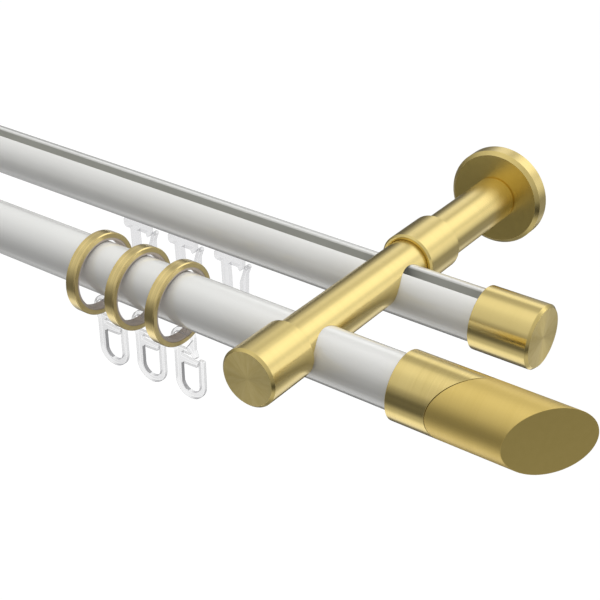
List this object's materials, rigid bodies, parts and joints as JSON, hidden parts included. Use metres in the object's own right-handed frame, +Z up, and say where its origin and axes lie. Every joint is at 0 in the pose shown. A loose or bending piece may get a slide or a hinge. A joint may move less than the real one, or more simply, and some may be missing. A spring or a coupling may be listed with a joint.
{
  "type": "double curtain pole",
  "caption": "Double curtain pole on brass wall brackets: a front pole with curtain rings and slanted finials, and a rear pole with gliders in its track.",
  "frame": {"origin": "on the wall plane, midway between the two brackets, at the height of their arms", "axes": "+X along the poles, -Y out of the wall into the room, +Z up"},
  "size_m": [1.0946, 0.1704, 0.069],
  "materials": {
    "brass_turned": "turned, fine circular brushing, clear lacquer",
    "brass_brushed": "brushed round, clear lacquer",
    "brass_satin": "satin, clear lacquer",
    "white_paint": "smooth white powder coat",
    "grey_plastic": "moulded, semi-clear",
    "clear_plastic": "moulded, clear",
    "steel_plate": "zinc plated",
    "screw_steel": "blackened"
  },
  "bodies": {
    "pole_set": {"wall_plate_left": "steel_plate", "wall_rosette_left": "brass_turned", "rear_arm_left": "brass_brushed", "coupling_sleeve_left": "brass_turned", "front_arm_left": "brass_brushed", "arm_head_left": "brass_turned", "pole_clamp_screw_left": "screw_steel", "lock_screws_left": "screw_steel", "rear_end_cap_left": "brass_turned", "finial_sleeve_left": "brass_brushed", "finial_tip_left": "brass_satin", "wall_plate_right": "steel_plate", "wall_rosette_right": "brass_turned", "rear_arm_right": "brass_brushed", "coupling_sleeve_right": "brass_turned", "front_arm_right": "brass_brushed", "arm_head_right": "brass_turned", "pole_clamp_screw_right": "screw_steel", "lock_screws_right": "screw_steel", "rear_end_cap_right": "brass_turned", "finial_sleeve_right": "brass_brushed", "finial_tip_right": "brass_satin", "front_pole": "white_paint", "rear_pole": "white_paint"},
    "ring_1": {"curtain_ring_1": "brass_satin", "ring_liner_1": "grey_plastic"},
    "hook_1": {"ring_hook_1": "clear_plastic"},
    "ring_2": {"curtain_ring_2": "brass_satin", "ring_liner_2": "grey_plastic"},
    "hook_2": {"ring_hook_2": "clear_plastic"},
    "ring_3": {"curtain_ring_3": "brass_satin", "ring_liner_3": "grey_plastic"},
    "hook_3": {"ring_hook_3": "clear_plastic"},
    "glider_1": {"track_glider_1": "clear_plastic"},
    "glider_2": {"track_glider_2": "clear_plastic"},
    "glider_3": {"track_glider_3": "clear_plastic"}
  },
  "joints": [
    {"name": "ring_1_slide", "type": "slide", "parent": "pole_set", "child": "ring_1", "axis": [1, 0, 0], "range_m": [-0.779, 0]},
    {"name": "ring_2_slide", "type": "slide", "parent": "pole_set", "child": "ring_2", "axis": [1, 0, 0], "range_m": [-0.003, 0.003]},
    {"name": "ring_3_slide", "type": "slide", "parent": "pole_set", "child": "ring_3", "axis": [1, 0, 0], "range_m": [0, 0.044]},
    {"name": "hook_1_swing", "type": "hinge", "parent": "ring_1", "child": "hook_1", "pos_m": [0.34811, -0.1375, -0.0225], "axis": [0, 1, 0], "range_deg": [-5, 35]},
    {"name": "hook_2_swing", "type": "hinge", "parent": "ring_2", "child": "hook_2", "pos_m": [0.36763, -0.1375, -0.0225], "axis": [0, 1, 0], "range_deg": [-5, 5]},
    {"name": "hook_3_swing", "type": "hinge", "parent": "ring_3", "child": "hook_3", "pos_m": [0.38715, -0.1375, -0.0225], "axis": [0, 1, 0], "range_deg": [-35, 5]},
    {"name": "glider_1_slide", "type": "slide", "parent": "pole_set", "child": "glider_1", "axis": [1, 0, 0], "range_m": [-0.7955, 0]},
    {"name": "glider_2_slide", "type": "slide", "parent": "pole_set", "child": "glider_2", "axis": [1, 0, 0], "range_m": [-0.0065, 0.0065]},
    {"name": "glider_3_slide", "type": "slide", "parent": "pole_set", "child": "glider_3", "axis": [1, 0, 0], "range_m": [0, 0.105]}
  ]
}
